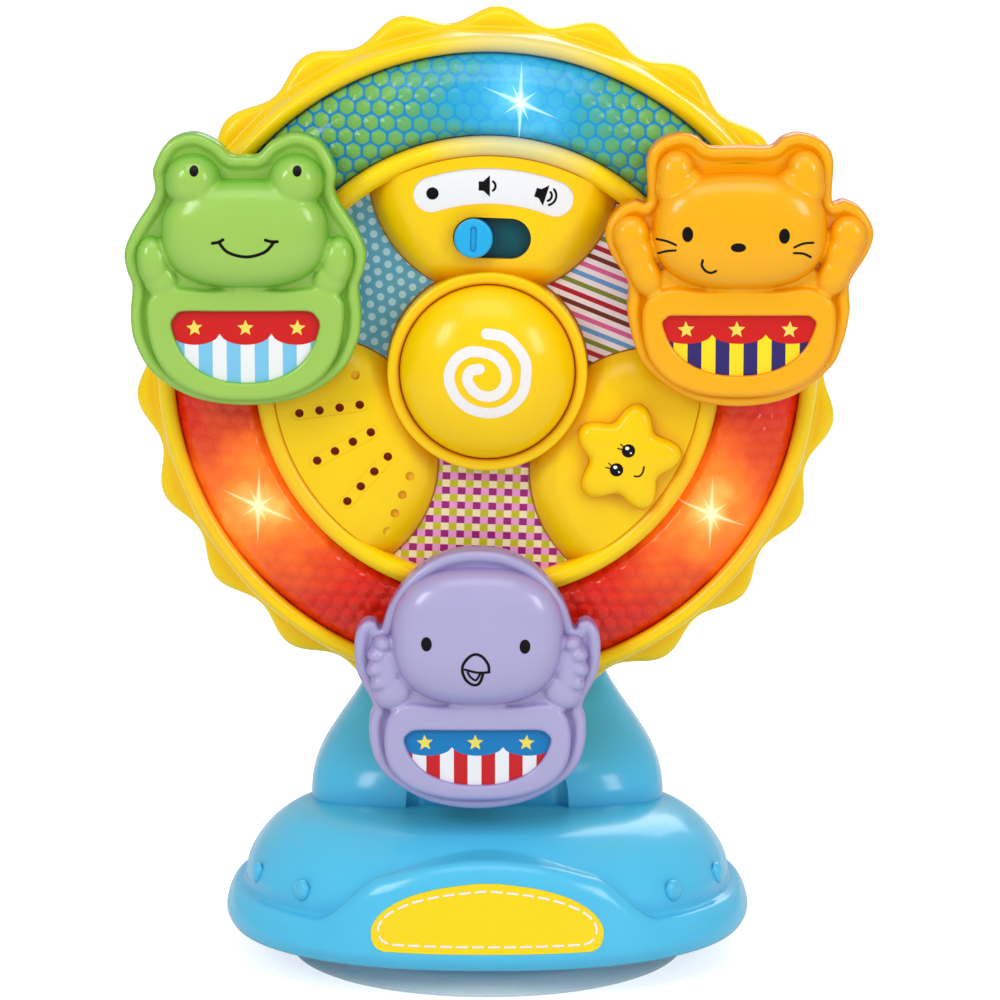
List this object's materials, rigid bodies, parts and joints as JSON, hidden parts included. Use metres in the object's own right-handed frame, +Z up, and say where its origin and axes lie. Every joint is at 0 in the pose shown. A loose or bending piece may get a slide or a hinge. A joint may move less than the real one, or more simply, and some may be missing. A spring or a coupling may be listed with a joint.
{
  "type": "tabletop ferris wheel toy",
  "caption": "Suction-cup toy ferris wheel: a scalloped light-up wheel spins on a domed stand and carries free-swinging animal gondolas, push buttons and a volume switch.",
  "frame": {"origin": "middle of the outline in plan, at the level of the surface that the suction cup rests on", "axes": "+Z up, -Y out of the toy's face towards the viewer, +X to the viewer's right"},
  "size_m": [0.1919, 0.1206, 0.2531],
  "materials": {
    "rim_yellow": "glossy moulded plastic",
    "panel_yellow": "glossy moulded plastic",
    "lens_blue": "translucent faceted plastic",
    "lens_red": "translucent faceted plastic",
    "base_blue": "glossy moulded plastic",
    "knob_blue": "satin moulded plastic",
    "frog_green": "glossy moulded plastic",
    "cat_orange": "glossy moulded plastic",
    "bird_lilac": "glossy moulded plastic",
    "paper": "printed film",
    "clear_rubber": "soft translucent rubber",
    "white_plastic": "plain moulded plastic",
    "board_green": "circuit board",
    "dark_cone": "matt speaker cone",
    "battery_can": "battery can",
    "steel": "bright steel"
  },
  "bodies": {
    "base": {"suction_cup": "clear_rubber", "cup_retainer": "white_plastic", "base_plate": "base_blue", "base_shell": "base_blue", "sign_label": "paper", "neck_front": "base_blue", "neck_rear": "base_blue", "axle_bush": "white_plastic", "base_screw_1": "steel", "base_screw_2": "steel", "base_screw_3": "steel", "base_screw_4": "steel", "neck_screw_1": "steel", "neck_screw_2": "steel"},
    "wheel": {"wheel_front_shell": "rim_yellow", "lens_blue": "lens_blue", "lens_red_left": "lens_red", "lens_red_right": "lens_red", "centre_panel": "panel_yellow", "print_dots": "paper", "print_stripes": "paper", "print_gingham": "paper", "switch_label": "paper", "wheel_rear_shell": "rim_yellow", "battery_door": "rim_yellow", "door_screw": "steel", "battery_1": "battery_can", "battery_2": "battery_can", "battery_3": "battery_can", "wheel_screw_1": "steel", "wheel_screw_2": "steel", "wheel_screw_3": "steel", "circuit_board": "board_green", "speaker": "dark_cone", "led_top": "white_plastic", "led_left": "white_plastic", "led_right": "white_plastic", "axle": "steel", "axle_clip": "steel", "frog_pin": "steel", "cat_pin": "steel", "bird_pin": "steel"},
    "frog": {"frog_front": "frog_green", "frog_back": "frog_green", "frog_label": "paper"},
    "cat": {"cat_front": "cat_orange", "cat_back": "cat_orange", "cat_label": "paper"},
    "bird": {"bird_front": "bird_lilac", "bird_back": "bird_lilac", "bird_label": "paper"},
    "star_button": {"star_button": "panel_yellow"},
    "dome_button": {"dome_button": "panel_yellow"},
    "volume_knob": {"volume_knob": "knob_blue"}
  },
  "joints": [
    {"name": "wheel_spin", "type": "hinge", "parent": "base", "child": "wheel", "pos_m": [-0.00275, 0, 0.16], "axis": [0, 1, 0], "continuous": true},
    {"name": "frog_swing", "type": "hinge", "parent": "wheel", "child": "frog", "pos_m": [-0.06483, 0, 0.19879], "axis": [0, 1, 0], "continuous": true},
    {"name": "cat_swing", "type": "hinge", "parent": "wheel", "child": "cat", "pos_m": [0.06188, 0, 0.19437], "axis": [0, 1, 0], "continuous": true},
    {"name": "bird_swing", "type": "hinge", "parent": "wheel", "child": "bird", "pos_m": [-0.0053, 0, 0.08685], "axis": [0, 1, 0], "continuous": true},
    {"name": "star_press", "type": "slide", "parent": "wheel", "child": "star_button", "axis": [0, 1, 0], "range_m": [0, 0.002], "stiffness_N_per_m": 400, "springref_m": -0.001},
    {"name": "dome_press", "type": "slide", "parent": "wheel", "child": "dome_button", "axis": [0, 1, 0], "range_m": [0, 0.003], "stiffness_N_per_m": 400, "springref_m": -0.001},
    {"name": "volume_slide", "type": "slide", "parent": "wheel", "child": "volume_knob", "axis": [0.9994, 0, -0.0349], "range_m": [0, 0.0096]}
  ]
}
